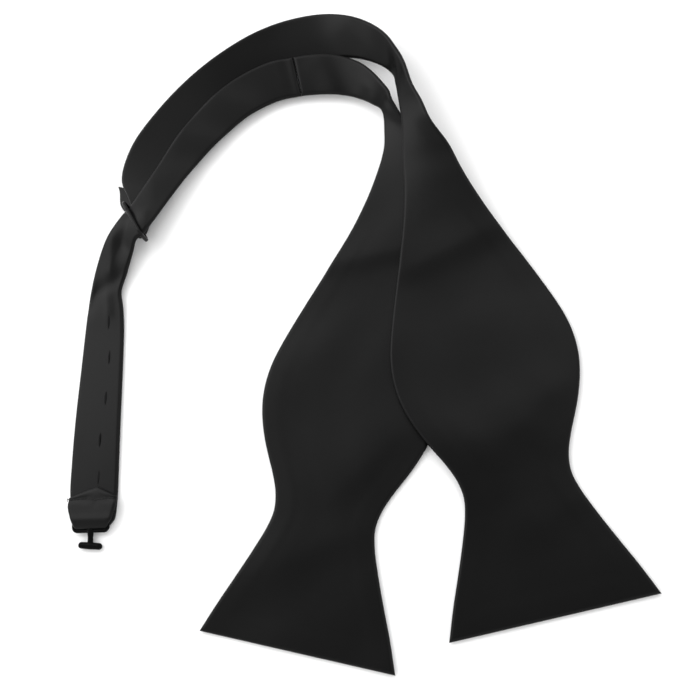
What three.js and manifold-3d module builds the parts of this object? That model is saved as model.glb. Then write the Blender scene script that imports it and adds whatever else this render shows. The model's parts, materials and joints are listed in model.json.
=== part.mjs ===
// Black satin self-tie bow tie, lying flat with its neckband doubled over.
// Millimetres, +Z up. The origin is under the middle of the tie, on the surface it lies on.
// +X is towards the front blade's side, +Y towards the bend of the neckband.
import * as THREE from 'three';
import Module from 'manifold-3d';
import { mergeVertices } from 'three/addons/utils/BufferGeometryUtils.js';

const wasm = await Module();
wasm.setup();

// Cloth build: each half is two satin panels with a woven interlining sealed between them.
const BACK_THICK = 0.4;
const LINING_THICK = 0.65;
const FACE_THICK = 0.35;
const PLY_GAP = 0.22;
const LINING_INSET = 0.8;
const STRAP_THICK = BACK_THICK + LINING_THICK + FACE_THICK + 2 * PLY_GAP;

// Butterfly blade: [distance from the hem, half-width]. Both blades are cut from it.
const BLADE_OUTLINE = [
  [0, 34], [10, 30.2], [20, 26], [30, 22], [38, 19.2], [44, 18.1], [50, 19], [56, 21.4],
  [62, 24.5], [68, 27.4], [75, 30], [82, 31.6], [89, 32], [96, 31.3], [103, 29.6], [111, 27.1],
  [120, 24], [130, 20.3], [140, 16.7], [150, 13.5], [160, 10.9], [170, 9],
];
const BACK_BLADE = { hem: [-15.9, -117.5], heading: 77.7 };
const FRONT_BLADE = { hem: [68, -107.8], heading: 102.05 };
// Height of the front blade's two edges where it lies over the back blade:
// [distance from the hem, inner edge, outer edge].
const FRONT_BLADE_LIFT = [
  [0, 0, 0], [36, 0.1, 0], [50, 1.4, 0], [60, 2.7, 0], [68, 3, 0], [112, 3.1, 0.2],
  [125, 3.4, 1], [140, 4, 3], [155, 4.8, 6], [170, 5.4, 9],
];
const BACK_BLADE_LIFT = [[0, 0, 0], [150, 0, 0.1], [160, 0.2, 0.9], [170, 0.5, 1.9]];

// The straps, given by their two edges: [inner edge, outer edge] as [x, y, z] of the underside.
// The inner edge is the one on the neck side of the bend.
const BACK_STRAP = [
  [[16.1, 65.2, 1], [27.2, 64.2, 3.2]],
  [[16.7, 74.2, 1.5], [26.2, 72.1, 5.2]],
  [[16.8, 79.2, 2], [23.1, 78.1, 7.4]],
  [[14.8, 82.5, 2.5], [20.8, 82.7, 8.7]],
  [[13.4, 83.8, 2.8], [19.8, 86.1, 8.8]],
  [[11.7, 84.8, 3], [17.8, 89.2, 8.7]],
  [[8.1, 87, 3], [13.7, 95, 8.2]],
  [[3.7, 89.2, 3], [8.8, 100.2, 7.4]],
  [[-1.9, 90.8, 3], [1.9, 104.5, 6.7]],
  [[-8.9, 91.8, 3], [-6.2, 107.1, 6]],
  [[-15.4, 92.2, 3], [-12.7, 107.8, 5.7]],
  [[-18.2, 92.1, 3.2], [-16.4, 107.7, 5.5]],
];
const ADJUSTER = [
  [[-19.6, 91.9, 3.3], [-18, 107.7, 5.5]],
  [[-25.8, 91.1, 3.3], [-29.1, 107.1, 5.5]],
  [[-37.6, 85.7, 3.2], [-43.6, 101.1, 5.2]],
  [[-48.4, 76.6, 3.2], [-56, 90.7, 5.2]],
  [[-59.1, 64.3, 3.6], [-67.1, 76.5, 5.5]],
  [[-67.6, 51.3, 4.8], [-75.4, 61.4, 5.9]],
  [[-72.6, 43.6, 5.8], [-79.7, 54.1, 6.3]],
  [[-77.6, 36.8, 6.4], [-83.7, 47.5, 6.4]],
  [[-79.9, 34.4, 5.7], [-86.5, 45.2, 5.7]],
  [[-81.6, 29.9, 4.2], [-92.8, 37.1, 4.2]],
];
const TAIL = [
  [[-81.6, 29.9, 4.2], [-92.8, 37.1, 4.2]],
  [[-84.2, 22.6, 2.6], [-96.8, 27.1, 2.2]],
  [[-86.5, 15.4, 1.2], [-99.2, 16.1, 0.9]],
  [[-85.6, 8.7, 0.5], [-100, 10.1, 0.3]],
  [[-84.9, 0.7, 0], [-100.4, 1.9, 0]],
  [[-84.2, -14.3, 0], [-100.8, -12.9, 0]],
  [[-83.5, -34.3, 0], [-101.3, -33.7, 0]],
  [[-82.8, -52.3, 0], [-101.2, -52.3, 0]],
  [[-82.4, -64.3, 0], [-100.8, -62.3, 0]],
  [[-83.8, -69.3, 0], [-99.6, -69.3, 0]],
];
const FRONT_STRAP = [
  [[24.4, 71.9, 7.7], [35.5, 69.3, 12.8]],
  [[23.7, 79.1, 7.8], [32.7, 77.1, 13.2]],
  [[23.1, 86.1, 7.3], [29.2, 85.1, 13.4]],
  [[22.6, 92.3, 6.4], [26.8, 94.1, 13.2]],
  [[20.4, 96.1, 5.4], [23.6, 102.1, 12.6]],
  [[17.4, 99.1, 5], [19.2, 109.3, 12.2]],
  [[11.4, 102.9, 4.4], [13.8, 114.9, 11.2]],
  [[3.2, 106.1, 3.4], [5.8, 120.1, 10.2]],
  [[-6.8, 107.1, 2.6], [-6.6, 124.3, 8.4]],
  [[-19.2, 106.7, 2], [-22.6, 124.1, 7.6]],
  [[-31.2, 105.1, 1.8], [-35.2, 120.9, 7]],
  [[-41.6, 101.1, 1.8], [-46.6, 115.3, 6.6]],
  [[-51.2, 94.3, 2], [-57.5, 107.9, 6.4]],
  [[-59.8, 85.7, 2.2], [-67.5, 99, 6.2]],
  [[-66.8, 75.7, 2.4], [-76.9, 88.1, 6]],
  [[-71.8, 64.7, 2.4], [-85.3, 75.5, 5.4]],
  [[-74.8, 52.7, 2.7], [-88.9, 61.5, 4.4]],
  [[-76.2, 43.2, 3.5], [-85.6, 53.6, 4.1]],
  [[-77.8, 37.5, 4.05], [-83.6, 47.5, 4.05]],
];

// Slide ring: a bent-wire rectangle that stands up in the turned-under end of the front strap.
const RING = {
  length: 17.8, height: 8.5, wire: 1.5, corner: 1.6, centre: [-81.1, 42.2], heading: -60.4,
};
const RING_BAR_Z = 3;
const LOOP_WIDTH = 13.6;
const LOOP_TURN_UNDER = 3;
const RUN_CLEARANCE = 0.3;

// Tail end: five buttonholes down its middle, and an end folded over the T-hook's base loop.
const BUTTONHOLES = [[-90.8, 3], [-89.4, -10.9], [-89.6, -26.9], [-90.5, -42.7], [-89.9, -56.7]];
const SLIT = { length: 6.4, width: 0.9, stitch: 1, lift: 0.1 };
const HOOK = {
  width: 13, drop: 4, wire: 1.4, corner: 1.5, stem: 5.2, stemRadius: 0.95,
  bar: 9.2, barRadius: 1.25, barSkew: 5, tilt: 7,
};
const HOOK_PIVOT = [-91.2, -71.7, 2.4];
// The folded end: how far its two legs reach up the tail, and the flap's edges and chevron peak.
const FLAP_THICK = 1.2;
const FOLD_LEG_END = -69.7;
const FOLD_TOP_END = -69.1;
const FLAP = [
  [[-96.8, -70.5, 3.3], [-85.6, -70.5, 3.3]],
  [[-98.9, -70.1, 3.2], [-83.7, -70.1, 3.2]],
  [[-100.3, -67.9, 2.9], [-82.7, -68.3, 2.9]],
  [[-100.9, -64.9, 2.4], [-82.5, -65.7, 2.4]],
  [[-100.9, -61.9, 2.2], [-82.6, -64.5, 2.2]],
];
const FLAP_PEAK = [[-101, -62.5], [-82.9, -65.1], [-83, -63.9], [-91.2, -59.7], [-100.9, -61.1]];
const FLAP_PEAK_THICK = 0.96;
const FLAP_PEAK_Z = 2.25;
const FLAP_STITCH_LINE = [[-99.8, -62.7], [-91.6, -62.9], [-84.2, -65.3]];
const FLAP_STITCHES = 12;
const HINGE_GAP = 0.5;
const SEAM_GAP = 0.9;
const SEAM_STITCHES = 9;
const SEAM_MARGIN = 0.06;
const STITCH_DEPTH = 0.4;
const FLAP_STITCH_Z = [4.1, 3.9];
const THREAD = 0.14;

// Materials: satin for the cloth, a duller interlining, black thread and black enamelled wire.
function finish(color, roughness, metalness) {
  return new THREE.MeshStandardMaterial({ color, roughness, metalness });
}
const satin = finish(0x0b0b0d, 0.42, 0);
const interlining = finish(0x3a3a3c, 0.9, 0);
const thread = finish(0x08080a, 0.6, 0);
const enamel = finish(0x101012, 0.3, 0.6);

const tie = new THREE.Group();

function addNode(name, geometry, material) {
  const mesh = new THREE.Mesh(geometry, material);
  mesh.name = name;
  tie.add(mesh);
  return mesh;
}

// Piecewise-linear reading of a [distance, a, b, ...] table.
function readTable(table, at, column) {
  const next = table.findIndex((row) => row[0] >= at);
  if (next <= 0) return table[Math.max(next, 0)][column];
  const [low, high] = [table[next - 1], table[next]];
  const share = (at - low[0]) / (high[0] - low[0]);
  return low[column] + share * (high[column] - low[column]);
}

// Edge pairs of a blade, from its hem to where the strap begins.
function bladeRows({ hem, heading }, lift) {
  const angle = THREE.MathUtils.degToRad(heading);
  const along = new THREE.Vector2(Math.cos(angle), Math.sin(angle));
  const inward = new THREE.Vector2(-along.y, along.x);
  return BLADE_OUTLINE.map(([distance, half]) => {
    const middle = new THREE.Vector2(...hem).addScaledVector(along, distance);
    const inner = middle.clone().addScaledVector(inward, half);
    const outer = middle.clone().addScaledVector(inward, -half);
    return [
      [inner.x, inner.y, readTable(lift, distance, 1)],
      [outer.x, outer.y, readTable(lift, distance, 2)],
    ];
  });
}

// Smooth edge curves through the rows, sampled so that every ply of a strap shares its stations.
// The first rows, where a blade lies flat, take fewer stations each than a strap that twists.
function stations(rows, steps, { flatRows = 0, startGap = 0, endGap = 0 } = {}) {
  const edges = [0, 1].map((side) => new THREE.CatmullRomCurve3(
    rows.map((row) => new THREE.Vector3(...row[side])), false, 'centripetal'));
  const places = [];
  for (let row = 0; row < rows.length - 1; row += 1) {
    const share = row < flatRows ? 1 : steps;
    for (let i = 0; i < share; i += 1) places.push((row + i / share) / (rows.length - 1));
  }
  places.push(1);
  const count = places.length - 1;
  const list = [];
  for (const place of places) {
    const [inner, outer] = edges.map((edge) => edge.getPoint(place));
    inner.z = Math.max(inner.z, 0);
    outer.z = Math.max(outer.z, 0);
    list.push({ inner, outer });
  }
  list.forEach((station, i) => {
    const before = list[Math.max(i - 1, 0)];
    const after = list[Math.min(i + 1, count)];
    const ahead = after.inner.clone().add(after.outer).sub(before.inner).sub(before.outer);
    station.ahead = ahead.normalize();
    station.across = station.outer.clone().sub(station.inner).normalize();
    station.up = station.across.clone().cross(station.ahead).normalize();
  });
  for (const [station, shift] of [[list[0], startGap], [list[count], -endGap]]) {
    station.inner.addScaledVector(station.ahead, shift);
    station.outer.addScaledVector(station.ahead, shift);
  }
  return list;
}

// One ply: the closed band between two heights over the underside, drawn in from both edges.
function ply(list, low, high, inset) {
  const corners = [];
  for (const { inner, outer, across, up } of list) {
    const innerLine = inner.clone().addScaledVector(across, inset);
    const outerLine = outer.clone().addScaledVector(across, -inset);
    const around = [[innerLine, low], [outerLine, low], [outerLine, high], [innerLine, high]];
    for (const [line, height] of around) {
      corners.push(line.clone().addScaledVector(up, height));
    }
  }
  const faces = [];
  for (let i = 0; i < list.length - 1; i += 1) {
    for (let k = 0; k < 4; k += 1) {
      const a = 4 * i + k;
      const b = 4 * i + ((k + 1) % 4);
      faces.push(a, b + 4, b, a, a + 4, b + 4);
    }
  }
  const last = 4 * (list.length - 1);
  faces.push(0, 1, 2, 0, 2, 3, last, last + 2, last + 1, last, last + 3, last + 2);
  return meshFrom(corners, faces);
}

function meshFrom(points, faces) {
  const places = points.flatMap((point) => [point.x, point.y, point.z]);
  const geometry = new THREE.BufferGeometry();
  geometry.setAttribute('position', new THREE.Float32BufferAttribute(places, 3));
  geometry.setIndex(faces);
  geometry.computeVertexNormals();
  return geometry;
}

// A half of the tie is a backing, an interlining and a face, one over the other.
function addPlies(name, list, cut = null) {
  const shape = (geometry) => (cut ? fromSolid(toSolid(geometry).subtract(cut)) : geometry);
  const liningLow = BACK_THICK + PLY_GAP;
  const liningHigh = liningLow + LINING_THICK;
  const faceLow = liningHigh + PLY_GAP;
  addNode(`${name}_backing`, shape(ply(list, 0, BACK_THICK, 0)), satin);
  const lining = shape(ply(list, liningLow, liningHigh, LINING_INSET));
  addNode(`${name}_interlining`, lining, interlining);
  addNode(`${name}_face`, shape(ply(list, faceLow, faceLow + FACE_THICK, 0)), satin);
}

function toSolid(geometry) {
  const bare = geometry.clone();
  bare.deleteAttribute('normal');
  bare.deleteAttribute('uv');
  const merged = mergeVertices(bare, 1e-4);
  return new wasm.Manifold(new wasm.Mesh({
    numProp: 3,
    vertProperties: Float32Array.from(merged.attributes.position.array),
    triVerts: Uint32Array.from(merged.index.array),
  }));
}

function fromSolid(solid) {
  const mesh = solid.getMesh();
  const geometry = new THREE.BufferGeometry();
  geometry.setAttribute('position', new THREE.BufferAttribute(Float32Array.from(mesh.vertProperties), 3));
  geometry.setIndex(Array.from(mesh.triVerts));
  geometry.computeVertexNormals();
  return geometry;
}

// A closed wire bent into a rounded rectangle in its own XY plane.
function wireLoop(length, height, corner, radius, sides = 10, cornerSteps = 5) {
  const centres = [[1, 1, 0], [-1, 1, 90], [-1, -1, 180], [1, -1, 270]];
  const path = [];
  for (const [sx, sy, from] of centres) {
    for (let i = 0; i <= cornerSteps; i += 1) {
      const angle = THREE.MathUtils.degToRad(from + (90 * i) / cornerSteps);
      const outward = new THREE.Vector3(Math.cos(angle), Math.sin(angle), 0);
      const pivot = new THREE.Vector3(sx * (length / 2 - corner), sy * (height / 2 - corner), 0);
      path.push({ middle: pivot.addScaledVector(outward, corner), outward });
    }
  }
  const points = [];
  const faces = [];
  path.forEach(({ middle, outward }, i) => {
    for (let k = 0; k < sides; k += 1) {
      const angle = (2 * Math.PI * k) / sides;
      const point = middle.clone().addScaledVector(outward, radius * Math.cos(angle));
      point.z += radius * Math.sin(angle);
      points.push(point);
      const a = i * sides + k;
      const b = i * sides + ((k + 1) % sides);
      const c = ((i + 1) % path.length) * sides + k;
      const d = ((i + 1) % path.length) * sides + ((k + 1) % sides);
      faces.push(a, c, d, a, d, b);
    }
  });
  return meshFrom(points, faces);
}

// A length of sewing thread through the given points.
function threadRun(points) {
  const route = new THREE.CatmullRomCurve3(points, false, 'centripetal');
  const section = new THREE.Shape().absarc(0, 0, THREAD, 0, 2 * Math.PI);
  const steps = 2 * points.length;
  return new THREE.ExtrudeGeometry(section, { steps, extrudePath: route, curveSegments: 3 });
}

// ---- Back blade with the inner strap of the neckband, ending at the cross seam ----
const backRows = [...bladeRows(BACK_BLADE, BACK_BLADE_LIFT), ...BACK_STRAP];
const backHalf = stations(backRows, 4, { flatRows: 20, endGap: SEAM_GAP / 2 });
addPlies('back_blade', backHalf);

// ---- Front blade, which folds at its throat, and the outer strap of the neckband ----
const frontRows = bladeRows(FRONT_BLADE, FRONT_BLADE_LIFT);
addPlies('front_blade', stations(frontRows, 2, { endGap: HINGE_GAP / 2 }));
addPlies('front_strap', stations([frontRows.at(-1), ...FRONT_STRAP], 4, { startGap: HINGE_GAP / 2 }));

// ---- Adjuster strap from the cross seam through the ring, then the loose tail ----
const adjuster = stations(ADJUSTER, 4, { startGap: SEAM_GAP / 2, endGap: HINGE_GAP / 2 });
addPlies('adjuster', adjuster);

// Cross seam: the joining thread weaves up and down in the seam between the two straps.
const seamSide = (side, share) => {
  const [a, b] = [BACK_STRAP.at(-1), ADJUSTER[0]].map((row) => new THREE.Vector3(...row[side]));
  return a.lerp(b, share);
};
const seamInner = seamSide(0, 0.5);
const seamOuter = seamSide(1, 0.5);
const seamPoints = [];
for (let i = 0; i <= SEAM_STITCHES; i += 1) {
  const share = SEAM_MARGIN + ((1 - 2 * SEAM_MARGIN) * i) / SEAM_STITCHES;
  const point = seamInner.clone().lerp(seamOuter, share);
  point.z += i % 2 ? STITCH_DEPTH : STRAP_THICK - STITCH_DEPTH;
  seamPoints.push(point);
}
addNode('cross_seam_thread', threadRun(seamPoints), thread);

// ---- Tail with its five buttonholes ----
const slitShape = (length, width) => {
  const half = (length - width) / 2;
  const shape = new THREE.Shape();
  shape.absarc(0, half, width / 2, 0, Math.PI);
  shape.absarc(0, -half, width / 2, Math.PI, 2 * Math.PI);
  shape.closePath();
  return shape;
};
const framed = { length: SLIT.length + 2 * SLIT.stitch, width: SLIT.width + 2 * SLIT.stitch };
let cut = null;
BUTTONHOLES.forEach(([x, y], i) => {
  const hole = new THREE.ExtrudeGeometry(
    slitShape(framed.length + 2 * RUN_CLEARANCE, framed.width + 2 * RUN_CLEARANCE),
    { depth: 4 * STRAP_THICK, bevelEnabled: false, curveSegments: 5 });
  hole.translate(x, y, -STRAP_THICK);
  cut = cut ? cut.add(toSolid(hole)) : toSolid(hole);
  const frame = slitShape(framed.length, framed.width);
  frame.holes.push(slitShape(SLIT.length, SLIT.width));
  const stitched = new THREE.ExtrudeGeometry(
    frame, { depth: STRAP_THICK, bevelEnabled: false, curveSegments: 5 });
  stitched.translate(x, y, SLIT.lift);
  addNode(`buttonhole_${i + 1}`, stitched, thread);
});
addPlies('tail', stations(TAIL, 2, { startGap: HINGE_GAP / 2 }), cut);

// ---- Tail end folded over the hook's base loop ----
const [pivotX, pivotY, pivotZ] = HOOK_PIVOT;
const innerTurn = HOOK.wire / 2 + RUN_CLEARANCE;
const outerTurn = innerTurn + FLAP_THICK;
const wrapWidth = HOOK.width - 2 * HOOK.wire - 2 * RUN_CLEARANCE;
// Side view of the fold, as (distance along the tail, height): under the bar, round it and back.
const fold = new THREE.Shape();
fold.moveTo(FOLD_LEG_END, pivotZ - outerTurn);
fold.lineTo(pivotY, pivotZ - outerTurn);
fold.absarc(pivotY, pivotZ, outerTurn, -Math.PI / 2, Math.PI / 2, true);
fold.lineTo(FOLD_TOP_END, pivotZ + outerTurn);
fold.lineTo(FOLD_TOP_END, pivotZ + innerTurn);
fold.lineTo(pivotY, pivotZ + innerTurn);
fold.absarc(pivotY, pivotZ, innerTurn, Math.PI / 2, -Math.PI / 2, false);
fold.lineTo(FOLD_LEG_END, pivotZ - innerTurn);
fold.closePath();
const wrap = new THREE.ExtrudeGeometry(fold, { depth: wrapWidth, bevelEnabled: false, curveSegments: 8 });
wrap.applyMatrix4(new THREE.Matrix4().makeBasis(
  new THREE.Vector3(0, 1, 0), new THREE.Vector3(0, 0, 1), new THREE.Vector3(1, 0, 0)));
wrap.translate(pivotX - wrapWidth / 2, 0, 0);
// The flap lies back over the tail, from the fold to its stitched chevron edge.
const flap = toSolid(ply(stations(FLAP, 2), 0, FLAP_THICK, 0));
const peakShape = new THREE.Shape(FLAP_PEAK.map(([x, y]) => new THREE.Vector2(x, y)));
const peak = new THREE.ExtrudeGeometry(peakShape, { depth: FLAP_PEAK_THICK, bevelEnabled: false });
peak.translate(0, 0, FLAP_PEAK_Z);
addNode('end_flap', fromSolid(toSolid(wrap).add(flap).add(toSolid(peak))), satin);

// Flap stitching: one row of running stitches just inside the chevron edge.
const stitchRoute = new THREE.CatmullRomCurve3(
  FLAP_STITCH_LINE.map(([x, y]) => new THREE.Vector3(x, y, 0)), false, 'centripetal');
const stitchPoints = [];
for (let i = 0; i <= FLAP_STITCHES; i += 1) {
  const point = stitchRoute.getPoint(i / FLAP_STITCHES);
  point.z = FLAP_STITCH_Z[i % 2];
  stitchPoints.push(point);
}
addNode('flap_stitch_thread', threadRun(stitchPoints), thread);

// ---- T-hook: base loop, stem and crossbar in one piece, resting on its crossbar ----
// Its pivot is the middle of the base bar, so that the bar turns inside the folded cloth.
const hookLoop = wireLoop(HOOK.width, HOOK.drop, HOOK.corner, HOOK.wire / 2);
hookLoop.translate(0, -HOOK.drop / 2, 0);
const stem = new THREE.CylinderGeometry(HOOK.stemRadius, HOOK.stemRadius, HOOK.stem, 10);
stem.translate(0, -HOOK.drop - HOOK.stem / 2, 0);
const crossbar = new THREE.CapsuleGeometry(HOOK.barRadius, HOOK.bar - 2 * HOOK.barRadius, 4, 12);
crossbar.rotateZ(Math.PI / 2 - THREE.MathUtils.degToRad(HOOK.barSkew));
crossbar.translate(0, -HOOK.drop - HOOK.stem, 0);
const hookSolid = toSolid(hookLoop).add(toSolid(stem)).add(toSolid(crossbar));
const hook = addNode('t_hook', fromSolid(hookSolid), enamel);
hook.position.set(...HOOK_PIVOT);
hook.rotation.x = THREE.MathUtils.degToRad(HOOK.tilt);

// ---- Slide ring and the strap end turned under its lower bar ----
const ringGroup = new THREE.Group();
ringGroup.position.set(...RING.centre, RING_BAR_Z);
ringGroup.rotation.z = THREE.MathUtils.degToRad(RING.heading);
tie.add(ringGroup);
const barSpacing = RING.height - RING.wire;
const ring = new THREE.Mesh(
  wireLoop(RING.length - RING.wire, barSpacing, RING.corner, RING.wire / 2), enamel);
ring.name = 'slide_ring';
ring.geometry.rotateX(Math.PI / 2);
ring.geometry.translate(0, 0, barSpacing / 2);
ringGroup.add(ring);

const loopInner = RING.wire / 2 + RUN_CLEARANCE;
const loopOuter = loopInner + STRAP_THICK;
// Side view of the turned-under end: over the bar's far side, round it and back under.
const turn = new THREE.Shape();
turn.moveTo(0, loopOuter);
turn.absarc(0, 0, loopOuter, Math.PI / 2, -Math.PI / 2, true);
turn.lineTo(-LOOP_TURN_UNDER, -loopOuter);
turn.lineTo(-LOOP_TURN_UNDER, -loopInner);
turn.lineTo(0, -loopInner);
turn.absarc(0, 0, loopInner, -Math.PI / 2, Math.PI / 2, false);
turn.closePath();
const endLoop = new THREE.Mesh(
  new THREE.ExtrudeGeometry(turn, { depth: LOOP_WIDTH, bevelEnabled: false, curveSegments: 8 }), satin);
endLoop.name = 'strap_end_loop';
// The shape's +X points away from the strap, its +Y up, and it runs along the bar.
endLoop.geometry.applyMatrix4(new THREE.Matrix4().makeBasis(
  new THREE.Vector3(0, -1, 0), new THREE.Vector3(0, 0, 1), new THREE.Vector3(-1, 0, 0)));
endLoop.geometry.translate(LOOP_WIDTH / 2, 0, 0);
ringGroup.add(endLoop);

export default tie;
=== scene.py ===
"""A black satin self-tie bow tie, laid flat with its neckband doubled over.

Sizes and places are in millimetres, and mm turns them into metres where a mesh is made. Only the
white sweep and the lamps are sized and placed in metres.
"""
import bmesh
import bpy
import json
import math
import numpy as np
from mathutils import Matrix, Vector, noise


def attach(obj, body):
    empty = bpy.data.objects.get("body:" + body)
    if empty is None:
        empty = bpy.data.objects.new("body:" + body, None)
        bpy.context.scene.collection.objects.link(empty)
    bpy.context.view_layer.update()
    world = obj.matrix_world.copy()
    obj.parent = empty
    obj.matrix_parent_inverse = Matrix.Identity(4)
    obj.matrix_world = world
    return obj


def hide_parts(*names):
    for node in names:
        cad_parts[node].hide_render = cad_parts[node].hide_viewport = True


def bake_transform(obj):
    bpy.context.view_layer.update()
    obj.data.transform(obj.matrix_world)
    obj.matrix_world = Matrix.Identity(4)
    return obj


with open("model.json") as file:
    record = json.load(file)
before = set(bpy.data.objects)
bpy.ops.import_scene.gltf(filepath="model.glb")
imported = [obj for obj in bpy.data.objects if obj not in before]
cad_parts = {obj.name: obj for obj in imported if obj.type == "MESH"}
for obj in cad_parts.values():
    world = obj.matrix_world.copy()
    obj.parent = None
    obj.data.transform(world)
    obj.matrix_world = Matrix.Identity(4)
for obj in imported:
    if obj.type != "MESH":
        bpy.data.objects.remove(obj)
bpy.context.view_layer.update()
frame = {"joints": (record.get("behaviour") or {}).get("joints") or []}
mm = 0.001


# ---- Table top, lamps and camera ----
# A seamless white sweep in a bright room, with a wide soft lamp on the left and a weaker one
# behind. The camera stands over the blades and looks down past them to the neckband.
SWEEP_HALF = 4
SWEEP_DROP = 0.02 * mm
sweep_corners = [(x * SWEEP_HALF, y * SWEEP_HALF, 0) for x, y in ((-1, -1), (1, -1), (1, 1), (-1, 1))]
sweep_mesh = bpy.data.meshes.new("sweep")
sweep_mesh.from_pydata(sweep_corners, [], [(0, 1, 2, 3)])
sweep = bpy.data.objects.new("sweep", sweep_mesh)
bpy.context.scene.collection.objects.link(sweep)
sweep.location.z = -SWEEP_DROP

white = bpy.data.materials.new("white_sweep")
white.use_nodes = True
white_shader = white.node_tree.nodes["Principled BSDF"]
white_shader.inputs["Base Color"].default_value = (0.9, 0.9, 0.9, 1)
white_shader.inputs["Roughness"].default_value = 0.9
white_shader.inputs["Specular IOR Level"].default_value = 0.1
sweep_mesh.materials.append(white)

# The room is bright round its walls and dimmer overhead, as a light tent open at the top is.
WALL_LIGHT, CEILING_LIGHT = 1.3, 0.4
CEILING_EDGE = 0.84
room = bpy.data.worlds.new("studio")
bpy.context.scene.world = room
room.use_nodes = True
sky, sky_link = room.node_tree.nodes, room.node_tree.links.new
sky_way = sky.new("ShaderNodeTexCoord")
sky_split = sky.new("ShaderNodeSeparateXYZ")
sky_ramp = sky.new("ShaderNodeMapRange")
sky_ramp.interpolation_type = "SMOOTHSTEP"
sky_ramp.inputs["From Min"].default_value = CEILING_EDGE
sky_ramp.inputs["From Max"].default_value = 1.0
sky_ramp.inputs["To Min"].default_value = WALL_LIGHT
sky_ramp.inputs["To Max"].default_value = CEILING_LIGHT
sky_link(sky_way.outputs["Generated"], sky_split.inputs[0])
sky_link(sky_split.outputs["Z"], sky_ramp.inputs["Value"])
sky_link(sky_ramp.outputs["Result"], sky["Background"].inputs["Strength"])
sky["Background"].inputs["Color"].default_value = (1, 1, 1, 1)


def lamp(name, place, size, power):
    """A square soft lamp at place, facing the bow tie."""
    light = bpy.data.lights.new(name, "AREA")
    light.shape = "SQUARE"
    light.size = size
    light.energy = power
    holder = bpy.data.objects.new(name, light)
    holder.location = place
    holder.rotation_euler = (-Vector(place)).to_track_quat("-Z", "Y").to_euler()
    bpy.context.scene.collection.objects.link(holder)


lamp("key_lamp", place=(-0.7, 0.48, 0.8), size=0.8, power=5.6)
lamp("fill_lamp", place=(0.2, 0.6, 1.1), size=0.7, power=1.8)

bpy.context.scene.view_settings.view_transform = "Standard"

CAMERA_PLACE = (71.5, -128.7, 332.0)
CAMERA_AHEAD = (-0.193234, 0.320922, -0.927184)
CAMERA_UP = (0.065476, 0.947106, 0.314172)
CAMERA_LENS, CAMERA_SENSOR = 51.43, 36
ahead = Vector(CAMERA_AHEAD).normalized()
right = ahead.cross(Vector(CAMERA_UP)).normalized()
up = right.cross(ahead)
camera = bpy.data.objects.new("camera", bpy.data.cameras.new("camera"))
camera.data.lens = CAMERA_LENS
camera.data.sensor_width = CAMERA_SENSOR
camera.data.clip_start = 0.01
camera.matrix_world = Matrix((right, up, -ahead)).transposed().to_4x4()
camera.location = Vector(CAMERA_PLACE) * mm
bpy.context.scene.collection.objects.link(camera)
bpy.context.scene.camera = camera


# ---- Back half: the back blade and the inner strap of the neckband ----
# Two black satin panels round a woven interlining, sewn inside out and turned, so that the edges
# are rolled and the turnings show as a faint step. It lies flat as far as the bend of the neck.
CLOTH_THICK = 1.8
EDGE_ROLL = 1.1
# The turnings lie inside the edge, and past them the cloth thins over a short step. Where a
# length narrows, they meet in its middle, and the step is gone.
TURNINGS = 6.0
TURNING_STEP, TURNING_THINS = 3, 0.07
TURNINGS_MEET, TURNINGS_CLEAR = 22, 30
# The slow waver of cloth laid down by hand: the size of its swells along and across.
WAVER_ALONG, WAVER_ACROSS = 23, 17

# A blade's [distance from the hem, half-width]. Both blades are cut to it.
BLADE = [
    (0, 34), (10, 30.2), (20, 26), (30, 22), (38, 19.2), (44, 18.1), (50, 19), (56, 21.4),
    (62, 24.5), (68, 27.4), (75, 30), (82, 31.6), (89, 32), (96, 31.3), (103, 29.6), (111, 27.1),
    (120, 24), (130, 20.3), (140, 16.7), (150, 13.5), (160, 10.9), (170, 9),
]


def blade_rows(hem, heading, lift):
    """Pairs of edge points from the hem to the throat. lift is [distance, inner z, outer z]."""
    along = np.array([math.cos(math.radians(heading)), math.sin(math.radians(heading))])
    inward = np.array([-along[1], along[0]])
    at, inner_z, outer_z = np.array(lift, float).T
    rows = []
    for distance, half in BLADE:
        middle = np.array(hem) + along * distance
        inner = [*(middle + inward * half), np.interp(distance, at, inner_z)]
        outer = [*(middle - inward * half), np.interp(distance, at, outer_z)]
        rows.append((inner, outer))
    return rows


def smooth_curve(points, per_row=24):
    """A centripetal curve through the points, as a dense run of places."""
    points = np.array(points, float)
    padded = np.vstack([2 * points[0] - points[1], points, 2 * points[-1] - points[-2]])
    run = []
    for a, b, c, d in zip(padded, padded[1:], padded[2:], padded[3:]):
        ta = 0.0
        tb = ta + math.sqrt(np.linalg.norm(b - a))
        tc = tb + math.sqrt(np.linalg.norm(c - b))
        td = tc + math.sqrt(np.linalg.norm(d - c))
        t = np.linspace(tb, tc, per_row, endpoint=False)[:, None]
        ab = (tb - t) / (tb - ta) * a + (t - ta) / (tb - ta) * b
        bc = (tc - t) / (tc - tb) * b + (t - tb) / (tc - tb) * c
        cd = (td - t) / (td - tc) * c + (t - tc) / (td - tc) * d
        abc = (tc - t) / (tc - ta) * ab + (t - ta) / (tc - ta) * bc
        bcd = (td - t) / (td - tb) * bc + (t - tb) / (td - tb) * cd
        run.append((tc - t) / (tc - tb) * abc + (t - tb) / (tc - tb) * bcd)
    return np.vstack([*run, points[-1:]])


def eased(values, reach):
    """Values averaged over reach samples each side, with both ends kept."""
    weight = np.hanning(2 * reach + 3)[1:-1]
    weight /= weight.sum()
    start, end = 2 * values[0] - values[reach:0:-1], 2 * values[-1] - values[-2:-reach - 2:-1]
    padded = np.vstack([start, values, end])
    return np.stack([np.convolve(padded[:, k], weight, "valid") for k in range(values.shape[1])], 1)


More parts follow.
